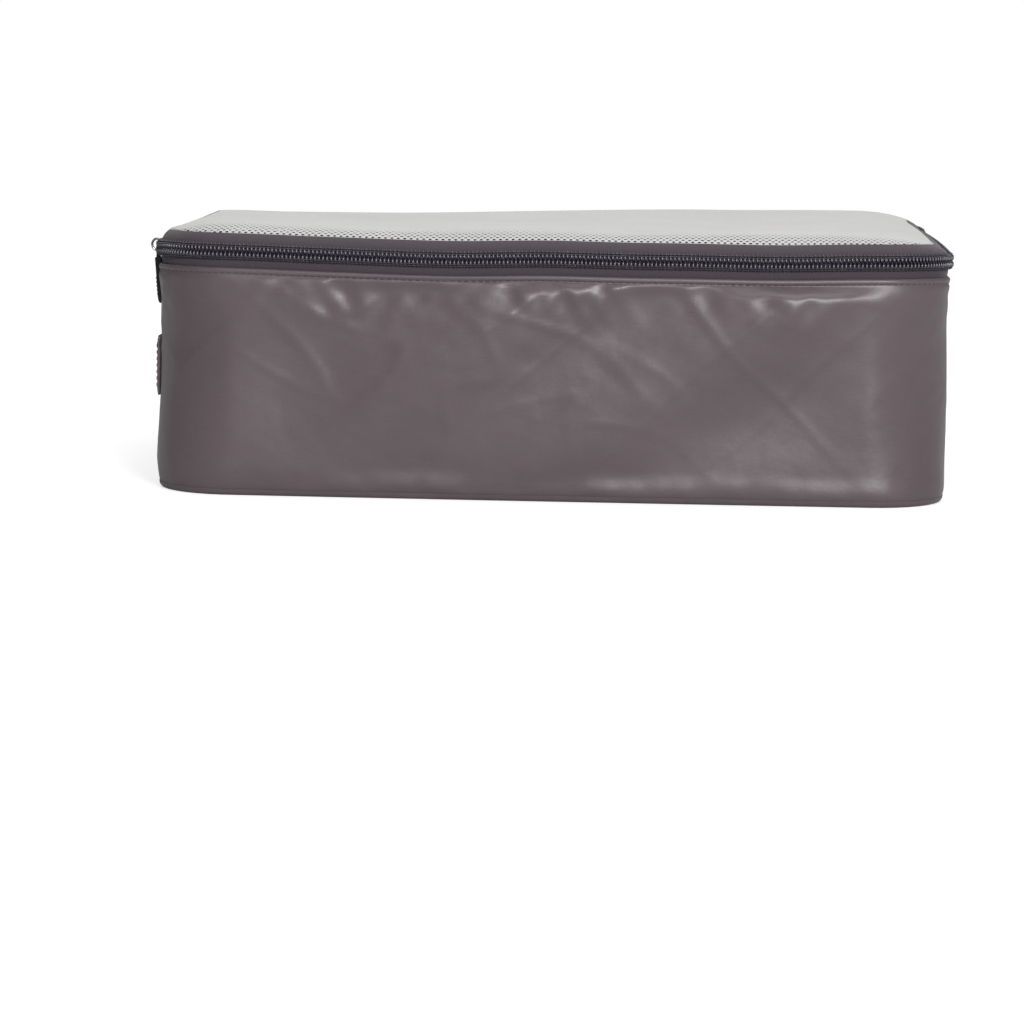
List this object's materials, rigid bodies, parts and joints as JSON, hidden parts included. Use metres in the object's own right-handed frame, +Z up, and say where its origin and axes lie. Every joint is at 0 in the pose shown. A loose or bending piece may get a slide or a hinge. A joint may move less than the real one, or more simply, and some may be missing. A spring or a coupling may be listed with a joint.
{
  "type": "packing cube",
  "caption": "Soft rectangular fabric packing cube with a mesh lid hinged along the back, a zip round the other three sides, a flat side handle and a slider with a ring and moulded pull.",
  "frame": {"origin": "middle of the underside, on the surface that the cube stands on", "axes": "+X along the long side, +Y from the zipped front to the hinged back, +Z up"},
  "size_m": [0.3398, 0.247, 0.1116],
  "materials": {
    "shell_fabric": "satin plain-weave nylon, grey mauve",
    "mesh_net": "warp-knitted net, light grey",
    "zipper_tape": "woven polyester tape, dark mauve",
    "zipper_coil": "nylon coil, dark grey, slightly glossy",
    "binding_tape": "ribbed binding tape, grey mauve",
    "thread": "twisted polyester thread, grey mauve",
    "slider_metal": "dark grey enamelled die-cast zinc",
    "bright_metal": "bright nickel plate",
    "pull_rubber": "black moulded rubber, satin"
  },
  "bodies": {
    "tray": {"bottom_panel": "shell_fabric", "front_side_wall": "shell_fabric", "back_wall": "shell_fabric", "bottom_seam_binding": "binding_tape", "hinge_seam_binding": "binding_tape", "back_left_seam_binding": "binding_tape", "back_right_seam_binding": "binding_tape", "lower_zipper_tape": "zipper_tape", "lower_zipper_coil": "zipper_coil", "handle_front_end": "shell_fabric", "handle_back_end": "shell_fabric", "handle_front_stitch": "thread", "handle_back_stitch": "thread"},
    "lid": {"mesh_panel": "mesh_net", "upper_zipper_tape": "zipper_tape", "upper_zipper_coil": "zipper_coil", "lid_seam_binding": "binding_tape"},
    "handle": {"handle_strap": "shell_fabric"},
    "slider": {"slider_body": "slider_metal", "slider_crown": "bright_metal"},
    "ring": {"pull_ring": "bright_metal"},
    "pull": {"rubber_pull": "pull_rubber"}
  },
  "joints": [
    {"name": "lid_hinge", "type": "hinge", "parent": "tray", "child": "lid", "pos_m": [0, 0.123, 0.1058], "axis": [-1, 0, 0], "range_deg": [0, 180]},
    {"name": "slider_travel", "type": "slide", "parent": "tray", "child": "slider", "axis": [0, 1, 0], "range_m": [-0.022, 0.134]},
    {"name": "handle_lift", "type": "slide", "parent": "tray", "child": "handle", "axis": [-1, 0, 0], "range_m": [0, 0.012], "stiffness_N_per_m": 20},
    {"name": "ring_swing", "type": "hinge", "parent": "slider", "child": "ring", "pos_m": [-0.1701, -0.052, 0.0997], "axis": [0, 1, 0], "range_deg": [0, 100]},
    {"name": "pull_swing", "type": "hinge", "parent": "ring", "child": "pull", "pos_m": [-0.1707, -0.052, 0.0963], "axis": [1, 0, 0], "range_deg": [-80, 80]}
  ]
}
